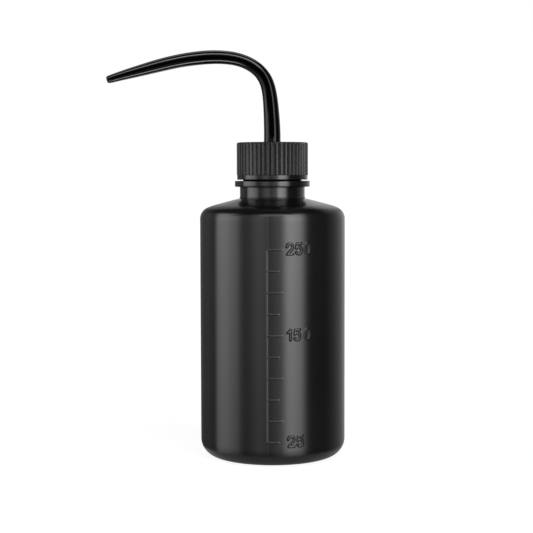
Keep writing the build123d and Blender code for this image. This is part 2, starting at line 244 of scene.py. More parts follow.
# centre lines of the strokes, mm from the digit's middle
GLYPHS = {
    "0": [squared_ellipse(HALF_W, HALF_H)],
    "1": [np.array([(0.38, -HALF_H), (0.38, HALF_H)]),
          catmull([(0.38, HALF_H - 0.05), (0.10, HALF_H - 0.52),
                   (-0.30, HALF_H - 0.90), (-0.80, HALF_H - 1.14)])],
    "2": [catmull(in_digit((-1, 0.40), (-0.88, 0.76), (-0.46, 0.97), (0.06, 1), (0.64, 0.88),
                           (1, 0.50), (0.90, 0.10), (0.42, -0.26), (-0.28, -0.58),
                           (-0.84, -0.98))),
          in_digit((-0.86, -1), (1, -1))],
    "5": [in_digit((-0.64, 1), (0.86, 1)),
          in_digit((-0.64, 1), (-0.88, 0.12)),
          catmull(in_digit((-0.88, 0.12), (-0.42, 0.35), (0.14, 0.38), (0.76, 0.14),
                           (1, -0.32), (0.76, -0.80), (0.06, -1), (-0.60, -0.88),
                           (-0.98, -0.60)))],
}


def line_distance(u, z, line):
    """Least distance from points (u, z) to a polyline."""
    best = np.full(u.shape, 1e9)
    for (ax, az), (bx, bz) in zip(line[:-1], line[1:]):
        dx, dz = bx - ax, bz - az
        t = np.clip(((u - ax) * dx + (z - az) * dz) / (dx * dx + dz * dz), 0, 1)
        best = np.minimum(best, np.hypot(u - ax - t * dx, z - az - t * dz))
    return best


# ------------------------------------------------------------------ relief of the wall
def marks(theta, z):
    """Height of the raised scale over the wall, mm, for arrays of angle and height."""
    height = np.zeros(theta.shape)
    near = (theta > -8) & (theta < 35) & (z > 6) & (z < 96)
    u, z = theta[near] * MM_PER_DEG, z[near]
    line_u = LINE_ANGLE * MM_PER_DEG
    to_line = line_distance(u, z, [(line_u, TICK0), (line_u, TICK0 + 9 * TICK_STEP)])
    for i, end in enumerate(TICK_ENDS):
        tick_z = TICK0 + i * TICK_STEP
        tick = [(line_u, tick_z), (end * MM_PER_DEG, tick_z)]
        to_line = np.minimum(to_line, line_distance(u, z, tick))
    to_digit = np.full(u.shape, 1e9)
    for text, i, angles in NUMBERS:
        digit_z = TICK0 + i * TICK_STEP + LIFT
        for digit, angle in zip(text, angles):
            du, dz = u - angle * MM_PER_DEG, z - digit_z
            close = (np.abs(du) < 3) & (np.abs(dz) < 4)
            if close.any():
                for line in GLYPHS[digit]:
                    to_digit[close] = np.minimum(to_digit[close],
                                                 line_distance(du[close], dz[close], line))
    # half width at the foot, less the width of the sloping side, is flat
    line_relief = LINE_H * np.clip((0.33 - to_line) / 0.21, 0, 1)
    digit_relief = DIGIT_H * np.clip((0.57 - to_digit) / 0.33, 0, 1)
    height[near] = np.maximum(line_relief, digit_relief)
    return height


def line_crest_highlight(theta, z):
    """Painted highlight on the scale's lines: light along the crest, strong on a mark's +X end.
    """
    end = np.zeros(theta.shape)
    for i, stop in enumerate(TICK_ENDS):
        near = np.abs(z - TICK0 - i * TICK_STEP) < 0.6
        end = np.where(near, smoothstep((theta - stop + 0.7) / 0.5), end)
    crest = smoothstep((marks(theta, z) / LINE_H - 0.80) / 0.20)
    return np.where((theta > 9.0) | (theta < -3.2), 0.0, crest * (0.26 + 0.74 * end))


def digit_side(theta, z):
    """1 on the sloping sides of the numbers, 0 on their faces and on the wall."""
    part = np.clip(marks(theta, z) / DIGIT_H, 0, 1)
    return np.where(theta > 9.6, np.clip(5.0 * part * (1 - part), 0, 1), 0.0)


def parting(theta, scale=1.0):
    """Mould parting line: a soft peak with a fine flash line on it, front and back."""
    height = np.zeros(theta.shape)
    for centre in (PARTING, PARTING + 180):
        away = np.abs((theta - centre + 180) % 360 - 180) * MM_PER_DEG
        height += 0.085 * np.exp(-away / 3.2) + 0.035 * smoothstep((0.28 - away) / 0.22)
    return height * scale


def thread_field(theta, z, start_z):
    """0..1 height of a right-hand thread over its root, with run-outs at both ends."""
    from_x = (theta - 90.0) % 360.0     # the helix starts at +X
    best = np.zeros(theta.shape)
    for k in range(-1, 4):
        turn = from_x + 360.0 * k
        away = np.abs(z - (start_z + PITCH * turn / 360.0))
        ends = smoothstep((turn + 14) / 46.0) * smoothstep((TURNS * 360 + 14 - turn) / 46.0)
        flank = (ROOT_HALF - away) / (ROOT_HALF - CREST_HALF)
        shape = smoothstep(flank * 0.92 + 0.04)
        best = np.maximum(best, shape * ends * (away < ROOT_HALF))
    return best


# ------------------------------------------------------------------ columns of the bottle
def spans(*parts):
    """Angles from (start, end, step) parts, each without its end."""
    out = []
    for start, end, step in parts:
        count = max(1, int(round((end - start) / step)))
        out += list(start + (end - start) * np.arange(count) / count)
    return out


# dense columns carry the scale and the parting line
FINE = np.array(sorted(set(np.round(spans(
    (-180, -174, 2.0), (-174, -14, 4.0), (-14, -6, 1.6), (-6, -2.6, 0.2), (-2.6, 3.4, 0.75),
    (3.4, 5.6, 0.23), (5.6, 6.2, 0.6), (6.2, 8.2, 0.23), (8.2, 9.6, 0.7), (9.6, 30.8, 0.27),
    (30.8, 36, 1.3), (36, 171, 4.0), (171, 174, 1.5), (174, 178.4, 0.4),
    (178.4, 180, 0.8)), 4))))
coarse_targets = spans(
    (-180, -175, 2.5), (-175, -12.5, 2.5), (-12.5, -7, 1.8), (-7, -5, 0.7), (-5, -2.6, 0.3),
    (-2.6, 2, 1.4), (2, 172, 2.5), (172, 174.6, 0.8), (174.6, 177.8, 0.4), (177.8, 180, 1.0))
# the coarse columns are the fine ones nearest to their targets
SHARED = sorted(set(int(np.argmin(np.abs(FINE - target))) for target in coarse_targets))
COARSE = FINE[SHARED]


# ------------------------------------------------------------------ shader helpers
class Graph:
    """The shader nodes of one material or world."""

    def __init__(self, owner):
        owner.use_nodes = True
        self.tree = owner.node_tree
        self.tree.nodes.clear()

    def feed(self, socket, value):
        """Link a socket into another, or set its value."""
        if isinstance(value, bpy.types.NodeSocket):
            self.tree.links.new(value, socket)
        else:
            socket.default_value = value

    def node(self, kind, inputs=None, **settings):
        node = self.tree.nodes.new("ShaderNode" + kind)
        for key, value in settings.items():
            setattr(node, key, value)
        for key, value in (inputs or {}).items():
            self.feed(node.inputs[key], value)
        return node

    def output(self, shader, kind="OutputMaterial"):
        self.node(kind, {"Surface": shader.outputs[0]})

    def object_coord(self):
        return self.node("TexCoord").outputs["Object"]

    def axes(self, vector):
        return self.node("SeparateXYZ", {0: vector}).outputs

    def attribute(self, name):
        return self.node("Attribute", attribute_name=name).outputs["Fac"]

    def noise(self, coord, scale, detail=3.0, stretch=None):
        if stretch:
            coord = self.node("Mapping", {"Vector": coord, "Scale": stretch}).outputs["Vector"]
        return self.node("TexNoise", {"Vector": coord, "Scale": scale, "Detail": detail,
                                      "Roughness": 0.55}).outputs["Fac"]

    def remap(self, value, source, target, smooth=False):
        """Carry the source range of value onto the target range."""
        return self.node("MapRange", {"Value": value, "From Min": source[0],
                                      "From Max": source[1], "To Min": target[0],
                                      "To Max": target[1]},
                         interpolation_type="SMOOTHSTEP" if smooth else "LINEAR",
                         ).outputs["Result"]

    def math(self, operation, *values):
        return self.node("Math", dict(enumerate(values)), operation=operation).outputs[0]

    def plus(self, a, b):
        return self.math("ADD", a, b)

    def times(self, a, b):
        return self.math("MULTIPLY", a, b)

    def mix(self, factor, a, b):
        return self.node("Mix", {0: factor, 6: a, 7: b}, data_type="RGBA").outputs[2]

    def bump(self, height, distance_mm, normal=None):
        inputs = {"Strength": 1.0, "Distance": distance_mm * MM, "Height": height}
        if normal:
            inputs["Normal"] = normal
        return self.node("Bump", inputs).outputs["Normal"]

    def curve(self, value, stops, scale=1.0):
        """A piecewise linear curve through (value, result) stops, results up to scale."""
        low, high = stops[0][0], stops[-1][0]
        ramp = self.node("ValToRGB", {"Fac": self.remap(value, (low, high), (0.0, 1.0))})
        ramp.color_ramp.interpolation = "LINEAR"
        elements = ramp.color_ramp.elements
        points = [((x - low) / (high - low), (v / scale,) * 3 + (1,)) for x, v in stops]
        elements[0].position, elements[0].color = points[0]
        elements[1].position, elements[1].color = points[-1]
        for position, colour in points[1:-1]:
            elements.new(position).color = colour
        return self.times(ramp.outputs["Color"], scale)


def source_of(socket):
    return socket.links[0].from_socket


def paler(colour, gain, lift):
    return tuple(min(1.0, c * gain + lift) for c in colour) + (1,)


# ------------------------------------------------------------------ product materials
SPECULAR = 0.5


def rubs(g, coord):
    """Fine random rubs in three directions, 0..1."""
    total = None
    for k, (angle, scale) in enumerate(((18, 260.0), (-37, 330.0), (71, 210.0))):
        turned = g.node("Mapping", {
            "Rotation": tuple(math.radians(angle * part) for part in (1, 0.7, 1.9)),
            "Scale": (1.0, 0.06, 1.0), "Vector": coord}).outputs["Vector"]
        cells = g.node("TexVoronoi", {"Scale": scale, "Vector": turned},
                       feature="DISTANCE_TO_EDGE")
        line = g.remap(cells.outputs["Distance"], source=(0.0, 0.014), target=(1.0, 0.0))
        patches = g.noise(coord, scale=55.0 + 20 * k, detail=2.0)
        line = g.times(line, g.remap(patches, source=(0.52, 0.68), target=(0, 1)))
        total = line if total is None else g.math("MAXIMUM", total, line)
    return total


def plastic(name, dark, light, roughness, grain, wave=None, scratch=0.0, edge=0.0, streaks=0.0):
    """Moulded plastic: pigment clouds, grain, slow waviness, faint rubs and worn edges.

    grain and wave are (size, height) in mm; scratch and streaks are changes of roughness;
    edge is how far worn edges go to the paler colour.
    """
    mat = bpy.data.materials.new(name)
    g = Graph(mat)
    bsdf = g.node("BsdfPrincipled", {"IOR": 1.5, "Specular IOR Level": SPECULAR})
    g.output(bsdf)
    coord = g.object_coord()
    cloud = g.noise(coord, scale=38.0, detail=4.0)
    colour = g.mix(g.remap(cloud, source=(0.3, 0.7), target=(0, 1)), dark + (1,), light + (1,))
    fine = g.noise(coord, scale=420.0, detail=2.0)
    rough = g.remap(fine, source=(0.25, 0.75), target=(roughness * 0.93, roughness * 1.07))
    broad = g.noise(coord, scale=26.0)
    rough = g.plus(rough, g.remap(broad, source=(0.3, 0.7), target=(-0.02, 0.02)))
    if streaks:
        upright = g.noise(coord, scale=60.0, detail=2.0, stretch=(1.0, 1.0, 0.03))
        rough = g.plus(rough, g.remap(upright, source=(0.35, 0.65), target=(-streaks, streaks)))
    if scratch:
        rubbed = rubs(g, coord)
        rough = g.plus(rough, g.times(rubbed, scratch))
        colour = g.mix(g.times(rubbed, 0.10), colour, paler(light, gain=2.4, lift=0.01))
    if edge:
        pointed = g.node("NewGeometry").outputs["Pointiness"]
        worn = g.remap(pointed, source=(0.52, 0.60), target=(0.0, 1.0))
        patches = g.noise(coord, scale=300.0)
        worn = g.times(worn, g.remap(patches, source=(0.35, 0.6), target=(0.3, 1.0)))
        colour = g.mix(g.times(worn, edge), colour, paler(light, gain=2.2, lift=0.012))
        rough = g.plus(rough, g.times(worn, -0.05))
    g.feed(bsdf.inputs["Base Color"], colour)
    g.feed(bsdf.inputs["Roughness"], g.math("MAXIMUM", rough, 0.03))
    normal = g.bump(g.noise(coord, scale=1000.0 / grain[0], detail=2.0), grain[1])
    if wave:
        normal = g.bump(g.noise(coord, scale=1000.0 / wave[0], detail=1.5), wave[1], normal)
    g.feed(bsdf.inputs["Normal"], normal)
    return mat, g, bsdf.inputs


def bottle_material():
    mat, g, inputs = plastic(
        "bottle_plastic", dark=(0.0026, 0.0027, 0.0028), light=(0.0038, 0.0039, 0.0041),
        roughness=0.175, grain=(0.9, 0.0006), wave=(9.0, 0.006), scratch=0.06, edge=0.15,
        streaks=0.010)
    coord = g.object_coord()
    z = g.axes(coord)["Z"]
    # roughness by height: duller shoulder, smooth neck, rubbed foot
    shoulder = g.remap(z, source=(0.1040, 0.1060), target=(0.0, 0.03), smooth=True)
    below_neck = g.remap(z, source=(0.1102, 0.1106), target=(1.0, 0.0), smooth=True)
    foot = g.remap(z, source=(0.0008, 0.0), target=(0.0, 0.25), smooth=True)
    neck = g.remap(z, source=(0.1104, 0.1114), target=(0.0, -0.075), smooth=True)
    change = g.plus(g.times(shoulder, below_neck), neck)
    rough = source_of(inputs["Roughness"])
    g.feed(inputs["Roughness"], g.plus(g.plus(rough, change), foot))

    # painted highlight: the crests of the scale's lines are coloured a little paler, most at
    # each mark's +X end
    highlight_breakup = g.remap(g.noise(coord, scale=900.0), source=(0.35, 0.65), target=(0.6, 1.0))
    highlight_amount = g.times(g.attribute("scale_line_highlight"), highlight_breakup)
    colour = source_of(inputs["Base Color"])
    g.feed(inputs["Base Color"], g.mix(highlight_amount, colour, (0.078, 0.078, 0.081, 1)))
    # the sides of the numbers shine less
    g.feed(inputs["Specular IOR Level"],
           g.remap(g.attribute("digit_side"), source=(0.0, 1.0), target=(SPECULAR, 0.18)))
    return mat


def cap_material():
    mat, g, inputs = plastic(
        "cap_plastic", dark=(0.0080, 0.0080, 0.0083), light=(0.0115, 0.0115, 0.0120),
        roughness=0.33, grain=(0.45, 0.0005), scratch=0.05, edge=0.30)
    # the plain band at the mouth is smooth and the ribs above it are matt; painted shade makes
    # the grooves darker and less shiny
    z = g.axes(g.object_coord())["Z"]
    band = g.remap(z, source=((CAP_Z0 + 1.9) * MM, (CAP_Z0 + 2.2) * MM), target=(1.0, 0.0),
                   smooth=True)
    rough = source_of(inputs["Roughness"])
    g.feed(inputs["Roughness"], g.plus(rough, g.times(band, -0.21)))
    painted_groove_shade = g.attribute("painted_groove_shade")
    colour = source_of(inputs["Base Color"])
    # painted shade: the colour goes darker deep in the grooves
    ribs_colour_with_painted_shade = g.mix(painted_groove_shade, colour, (0.0030, 0.0030, 0.0032, 1))
    g.feed(inputs["Base Color"], g.mix(band, ribs_colour_with_painted_shade, (0.0035, 0.0035, 0.0037, 1)))
    g.feed(inputs["Specular IOR Level"],
           g.remap(painted_groove_shade, source=(0.0, 1.0), target=(SPECULAR, 0.22)))
    return mat


def spout_material():
    mat, g, inputs = plastic(
        "spout_plastic", dark=(0.0006, 0.0006, 0.0007), light=(0.0011, 0.0011, 0.0012),
        roughness=0.095, grain=(0.9, 0.0003), wave=(6.0, 0.002), scratch=0.03)
    # the upright stem is less glossy than the arm
    x = g.axes(g.object_coord())["X"]
    g.feed(inputs["Specular IOR Level"],
           g.remap(x, source=(-0.020, -0.004), target=(0.30, 0.24), smooth=True))
    return mat


def tube_material():
    mat, _, inputs = plastic(
        "tube_plastic", dark=(0.66, 0.68, 0.66), light=(0.74, 0.76, 0.74), roughness=0.36,
        grain=(0.4, 0.002), scratch=0.05)
    inputs["Transmission Weight"].default_value = 0.35
    inputs["Subsurface Weight"].default_value = 0.15
    inputs["Subsurface Radius"].default_value = (0.002, 0.002, 0.002)
    return mat


mat_bottle = bottle_material()
mat_cap = cap_material()
mat_spout = spout_material()
mat_tube = tube_material()
mat_washer = plastic("washer_foam", dark=(0.72, 0.72, 0.68), light=(0.82, 0.82, 0.79),
                     roughness=0.62, grain=(0.25, 0.02))[0]

# ------------------------------------------------------------------ bottle
# the hollow under the base is part of a sphere
DOME_R = (FOOT_R ** 2 + HOLLOW ** 2) / (2 * HOLLOW)
DOME_Z = HOLLOW - DOME_R

# wall, shoulder arc, gentler blend arc and shoulder cone are tangent to each other
SLOPE = 0.2645                          # rise of the cone per mm inwards
CONE_R, CONE_Z = 24.34, 107.92          # a point on the cone
SHOULDER_R, BLEND_R = 5.25, 28.0
CONE_ANGLE = math.atan(SLOPE)
BLEND_END = math.pi / 2 - CONE_ANGLE    # where the blend arc meets the cone
BLEND_START = math.radians(67)          # where the shoulder arc meets the blend arc
BLEND_CR = BODY_R - SHOULDER_R - (BLEND_R - SHOULDER_R) * math.cos(BLEND_START)
BLEND_CZ = CONE_Z - ((BLEND_R + (BLEND_CR - CONE_R) * math.sin(CONE_ANGLE))
                     / math.cos(CONE_ANGLE))
SHOULDER_CR = BODY_R - SHOULDER_R
SHOULDER_CZ = BLEND_CZ + (BLEND_R - SHOULDER_R) * math.sin(BLEND_START)

# the dense band of the wall that carries the scale
SCALE_Z0, SCALE_Z1 = 7.6, TICK0 + 9 * TICK_STEP + 4.0
TICK_ROWS = np.array([-1.1, -0.9, -0.7, -0.56, -0.44, -0.32, -0.2, -0.08,
                      0.08, 0.2, 0.32, 0.44, 0.56, 0.7, 0.9, 1.1])


def cone_z(radius):
    return CONE_Z + (CONE_R - radius) * SLOPE


def weld(theta, radius):
    """Depth of the ragged pinch-off weld across the hollow."""
    turn = np.radians(theta - PARTING)
    away, along = np.abs(radius * np.sin(turn)), np.abs(radius * np.cos(turn))
    tear = 0.06 * np.sin(along * 2.1 + 0.7) + 0.04 * np.sin(along * 5.3)
    return ((WELD_H + tear) * smoothstep((0.52 - away) / 0.3)
            * smoothstep((15.6 - along) / 2.5))


def base_rings():
    """Rings (angles, radius, z) from the middle of the base to the foot of the wall."""
    rings = []
    for r in np.r_[0.35, 0.8, 1.4, np.arange(2.2, 20.8, 0.8), 20.9, 21.2]:
        rings.append((COARSE, r, DOME_Z + math.sqrt(DOME_R ** 2 - r ** 2) - weld(COARSE, r)))
    for r, z in ((21.45, 0.045), (21.7, 0.012), (22.0, 0.0), (22.7, 0.0), (23.3, 0.0)):
        rings.append((COARSE, r, z))
    for r, z in arc(BODY_R - CORNER_R, CORNER_R, CORNER_R, -88, 0, 23):
        rings.append((COARSE, r + parting(COARSE, smoothstep((z - 0.5) / 5.0)), z))
    return rings


def scale_rows():
    """Heights of the rings that carry the scale, no closer than 0.09 mm."""
    rows = [SCALE_Z1]
    z = SCALE_Z0
    while z < SCALE_Z1:
        rows.append(z)
        z += 2.6
    numbered = [i for _, i, _ in NUMBERS]
    for i in range(len(TICK_ENDS)):
        tick_z = TICK0 + i * TICK_STEP
        if i in numbered:
            rows += list(np.arange(tick_z + LIFT - 3.0, tick_z + LIFT + 3.1, 0.14))
        rows += list(tick_z + TICK_ROWS)
    rows.sort()
    kept = [rows[0]]
    for z in rows[1:]:
        if z - kept[-1] > 0.09:
            kept.append(z)
    kept[-1] = SCALE_Z1
    return kept


def wall_rings():
    """The wall, the shoulder arcs and the cone."""
    rings = []
    for z in scale_rows():
        rings.append((FINE, BODY_R + parting(FINE) + marks(FINE, z + 0 * FINE), z))
    for z in np.linspace(SCALE_Z1 + 1.6, SHOULDER_CZ - 0.2, 4):
        rings.append((COARSE, BODY_R + parting(COARSE), z))
    for r, z in arc(SHOULDER_CR, SHOULDER_CZ, SHOULDER_R, 0, math.degrees(BLEND_START), 19):
        rise = (z - SHOULDER_CZ) / SHOULDER_R
        rings.append((COARSE, r + parting(COARSE, 1 - 0.5 * rise), z))
    for r, z in arc(BLEND_CR, BLEND_CZ, BLEND_R, math.degrees(BLEND_START),
                    math.degrees(BLEND_END), 8)[1:]:
        rings.append((COARSE, r, z + parting(COARSE, 0.5)))
    start_r = BLEND_CR + BLEND_R * math.cos(BLEND_END)
    start_z = BLEND_CZ + BLEND_R * math.sin(BLEND_END)
    end_r = 15.0
    for s in np.linspace(0, 1, 10)[1:-1]:
        r = start_r + (end_r - start_r) * s
        z = start_z + (cone_z(end_r) - start_z) * s
        rings.append((COARSE, r, z + parting(COARSE, 0.5 * (1 - s))))
    return rings


def neck_rings():
    """Outside of the neck: groove, collar, bead and thread."""
    rings = []
    foot_z = cone_z(14.6)
    profile = rounded([
        (14.95, foot_z - 0.095, 0), (14.45, foot_z + 0.02, 0.4), (13.92, foot_z - 0.12, 0.16),
        (13.9, NECK_Z - 0.06, 0.08), (14.10, NECK_Z + 0.02, 0.08),
        (14.10, NECK_Z + 0.24, 0.12), (NECK_R, NECK_Z + 0.5, 0.3), (NECK_R, BEAD_Z0, 0.22),
        (BEAD_R, BEAD_Z0, 0.34), (BEAD_R, BEAD_Z1, 0.34), (NECK_ROOT_R, BEAD_Z1, 0.3),
        (NECK_ROOT_R, 119.6, 0)], max_len=0.8, arc_step=18)
    for r, z in profile:
        rings.append((COARSE, r + parting(COARSE, 0.55 if z < BEAD_Z0 + 0.1 else 0.25), z))
    for z in np.arange(119.8, RIM_Z - 0.5, 0.2):
        thread = NECK_THREAD_H * thread_field(COARSE, z, NECK_THREAD_Z)
        rings.append((COARSE, NECK_ROOT_R + thread, z))
    return rings


def inside_rings():
    """Over the rim and down the inside to the middle of the floor."""
    rim = rounded([(NECK_ROOT_R, RIM_Z - 0.45, 0), (NECK_ROOT_R, RIM_Z, 0.4),
                   (MOUTH_R, RIM_Z, 0.4), (MOUTH_R, RIM_Z - 3, 0), (MOUTH_R, 118.5, 0.8),
                   (12.9, 116.0, 0.8), (12.9, NECK_Z + 0.1, 0)], max_len=2.5, arc_step=22)
    blend_r = BLEND_R - WALL
    cone_end = np.array([BLEND_CR + blend_r * math.cos(BLEND_END),
                         BLEND_CZ + blend_r * math.sin(BLEND_END)])
    cone_top = np.array([14.3, cone_end[1] + (cone_end[0] - 14.3) * SLOPE])
    profile = [*rim[:-1], (12.95, NECK_Z - 0.2), (13.3, cone_top[1] + 0.35), cone_top]
    profile += [cone_top + (cone_end - cone_top) * s for s in (0.3, 0.6)]
    profile += [*arc(BLEND_CR, BLEND_CZ, blend_r, math.degrees(BLEND_END),
                     math.degrees(BLEND_START), 4)]
    profile += [*arc(SHOULDER_CR, SHOULDER_CZ, SHOULDER_R - WALL,
                     math.degrees(BLEND_START), 0, 7)[1:]]
    profile += [(BODY_R - WALL, z) for z in (90, 70, 50, 30, 15)]
    profile += [*arc(BODY_R - CORNER_R, CORNER_R, CORNER_R - WALL, 0, -90, 9)]
    profile += [(r, DOME_Z + math.sqrt((DOME_R + WALL) ** 2 - r ** 2))
                for r in (21.3, 19, 16, 13, 10, 7, 4, 1.5)]
    return [(COARSE, r, z) for r, z in profile]


def step_faces(fine, coarse, coarse_first):
    """Faces between a fine and a coarse ring, given the first vertex of each."""
    faces = []
    for j, column in enumerate(SHARED):
        after = (j + 1) % len(SHARED)
        count = (SHARED[after] - column) % len(FINE)
        face = [fine + (column + k) % len(FINE) for k in range(count + 1)]
        face += [coarse + after, coarse + j]
        faces.append(tuple(face[::-1] if coarse_first else face))
    return faces


def stack(rings, first_pole, last_pole):
    """Rings joined in turn and closed with a pole at the first and the last, both coarse."""
    points, faces = [], []
    total = 0
    count = len(COARSE)
    before = None
    for angles, radius, z in rings:
        start = total
        points.append(on_circle(angles, radius, z))
        total += len(angles)
        if before is None:
            points.append([first_pole])
            faces += [(total, (i + 1) % count, i) for i in range(count)]
            total += 1
        elif before[0] is angles:
            faces += ring_faces(before[1], start, len(angles))
        elif angles is FINE:
            faces += step_faces(start, before[1], coarse_first=True)
        else:
            faces += step_faces(before[1], start, coarse_first=False)
        before = (angles, start)
    points.append([last_pole])
    faces += [(total, start + i, start + (i + 1) % count) for i in range(count)]
    return np.concatenate(points), faces


def bottle_object():
    rings = base_rings() + wall_rings() + neck_rings() + inside_rings()
    verts, faces = stack(rings, first_pole=(0, 0, HOLLOW - WELD_H),
                         last_pole=(0, 0, HOLLOW + WALL))
    ob = product_object("bottle_body", verts, faces, mat_bottle, "bottle",
                        "bottle_satin_black", "bottle")
    x, y, z = verts.T
    theta = np.degrees(np.arctan2(x, -y))
    wall = (np.hypot(x, y) > BODY_R - 0.3) & (z > 8) & (z < 95)
    # painted highlight on the crests of the scale's lines, and the sloping sides of the numbers
    for name, field in (("scale_line_highlight", line_crest_highlight), ("digit_side", digit_side)):
        values = np.zeros(len(verts))
        values[wall] = field(theta[wall], z[wall])
        point_attribute(ob, name, values)
    return ob


# ------------------------------------------------------------------ screw cap
RIBS = 48
BAND_R, RIB_R, GROOVE_R = 15.05, 15.2, 14.64
BAND_Z = CAP_Z0 + 2.0                   # top of the plain band
EDGE_R = 0.62                           # rounding of the top edge
TOP_INSIDE = CAP_Z1 - 1.45              # underside of the top panel
# columns of one rib; 0 is the middle of its crest
RIB_COLUMNS = np.array([0.0, 0.10, 0.17, 0.225, 0.27, 0.31, 0.355, 0.42,
                        0.5, 0.58, 0.645, 0.69, 0.73, 0.775, 0.83, 0.90])
# how the ribs rise out of the band: part of their height, z over the start
RIB_RISE = ((0.0, 0.0), (0.22, 0.04), (0.5, 0.10), (0.78, 0.17), (0.95, 0.26), (1.0, 0.38))


def cap_object():
    columns = np.concatenate([(i + RIB_COLUMNS) * (360.0 / RIBS) for i in range(RIBS)]) - 180.0
    across = (((columns + 180.0) / (360.0 / RIBS)) + 0.5) % 1.0 - 0.5
    # 1 on a rib's crest, 0 in a groove; the crests are very slightly crowned
    crest = np.where(across < 0, smoothstep((across + 0.47) / 0.36),
                     smoothstep((0.40 - across) / 0.24))
    crown = -0.035 * (np.abs(across) / 0.3) ** 2 * crest
    ribbed = GROOVE_R + (RIB_R + crown - GROOVE_R) * crest

    # the cap's thread lies 0.1 under the neck's where both are met at one radius
    meet_r = 13.07
    flank = ROOT_HALF - CREST_HALF
    neck_half = ROOT_HALF - flank / NECK_THREAD_H * (meet_r - NECK_ROOT_R)
    cap_half = CREST_HALF + flank / CAP_THREAD_H * (meet_r - (CAP_INNER_R - CAP_THREAD_H))
    thread_z = NECK_THREAD_Z - neck_half - cap_half - 0.1

    # from the hole in the top down the inside to the mouth, then up outside and over the top
    rings = [*rounded([(3.65, CAP_Z1 - 0.35, 0), (3.65, TOP_INSIDE + 0.8, 0.15),
                       (4.45, TOP_INSIDE, 0.15), (13.35, TOP_INSIDE, 0.1),
                       (CAP_INNER_R, TOP_INSIDE - 0.6, 0.3),
                       (CAP_INNER_R, TOP_INSIDE - 2.2, 0)], max_len=2.4, arc_step=25)]
    for z in np.arange(TOP_INSIDE - 2.4, CAP_Z0 + 0.9, -0.24):
        rings.append((CAP_INNER_R - CAP_THREAD_H * thread_field(columns, z, thread_z), z))
    rings += [*rounded([(CAP_INNER_R, CAP_Z0 + 0.8, 0), (CAP_INNER_R, CAP_Z0 + 0.45, 0.2),
                        (14.4, CAP_Z0, 0.12), (BAND_R, CAP_Z0, 0.22),
                        (BAND_R, CAP_Z0 + 1.0, 0)], max_len=0.6, arc_step=22)]
    rings += [(BAND_R, BAND_Z - below) for below in (0.55, 0.3, 0.17)]
    for part, rise in RIB_RISE:
        shoulder = BAND_R - 0.10 * part
        rings.append((shoulder + (ribbed - shoulder) * part, BAND_Z - 0.12 + rise))
    rings += [(ribbed, z) for z in np.linspace(BAND_Z + 0.7, CAP_Z1 - 1.0, 9)]
    # rounded top edge: the ribs run out into the top face
    for turn in np.radians(np.linspace(0, 90, 9)):
        inset = EDGE_R * (1 - math.cos(turn))
        fade = 1 - smoothstep((turn - 0.75) / 0.85)
        r = (GROOVE_R + (RIB_R + crown - GROOVE_R) * crest * fade
             + (1 - fade) * (RIB_R - GROOVE_R) * 0.55 - inset)
        rings.append((np.minimum(r, ribbed), CAP_Z1 - EDGE_R + EDGE_R * math.sin(turn)))
    # top face, slightly sunk
    for r in (14.0, 13.2, 12.0, 10.0, 7.5, 5.5, 4.6):
        rings.append((r, CAP_Z1 - 0.05 * smoothstep((13.6 - r) / 1.0)))
    rings += [*rounded([(4.3, CAP_Z1 - 0.05, 0), (3.95, CAP_Z1 - 0.05, 0.2),
                        (3.65, CAP_Z1 - 0.33, 0)], arc_step=20)[:-1]]

    verts, faces = closed_loft([on_circle(columns, r, z) for r, z in rings])
    ob = product_object("cap_shell", verts, faces, mat_cap, "cap", "cap_matte_black",
                        "screw_cap")
    # how deep a point lies in a groove, which sets the painted shade there
    x, y, z = verts.T
    r = np.hypot(x, y)
    ribs = (r > 14.5) & (z > BAND_Z + 0.1) & (z < CAP_Z1 - 0.5)
    depth = smoothstep((RIB_R - 0.06 - r) / (RIB_R - 0.10 - GROOVE_R))
    point_attribute(ob, "painted_groove_shade", np.where(ribs, depth, 0.0))
    return ob


# ------------------------------------------------------------------ spout
# centre line from the flange to the tip: x, z, outer radius, bore radius
SPINE = np.array([
    (0.00, 134.60, 3.56, 2.00), (0.00, 138.40, 3.53, 2.00), (-0.09, 141.80, 3.48, 1.98),
    (-0.28, 145.87, 3.38, 1.94), (-0.64, 150.84, 3.25, 1.90), (-1.26, 155.78, 3.12, 1.86),
    (-2.62, 160.50, 3.03, 1.84), (-5.40, 164.60, 2.91, 1.82), (-9.38, 167.58, 2.84, 1.80),
    (-14.01, 169.47, 2.83, 1.78), (-18.90, 170.40, 2.88, 1.76), (-23.86, 170.68, 2.92, 1.74),
    (-28.84, 170.50, 2.94, 1.72), (-33.78, 169.98, 2.92, 1.68), (-38.70, 169.22, 2.89, 1.62),
    (-43.57, 168.23, 2.84, 1.55), (-48.41, 167.08, 2.75, 1.46), (-53.21, 165.84, 2.58, 1.35),
    (-58.03, 164.55, 2.36, 1.22), (-62.82, 163.26, 2.09, 1.08), (-67.60, 161.90, 1.80, 0.92),
    (-70.40, 161.08, 1.62, 0.85)])
TIP_LEN = 1.6                           # rounded part of the tip
TIP_RIM = 0.12                          # rounding of the rim into the bore


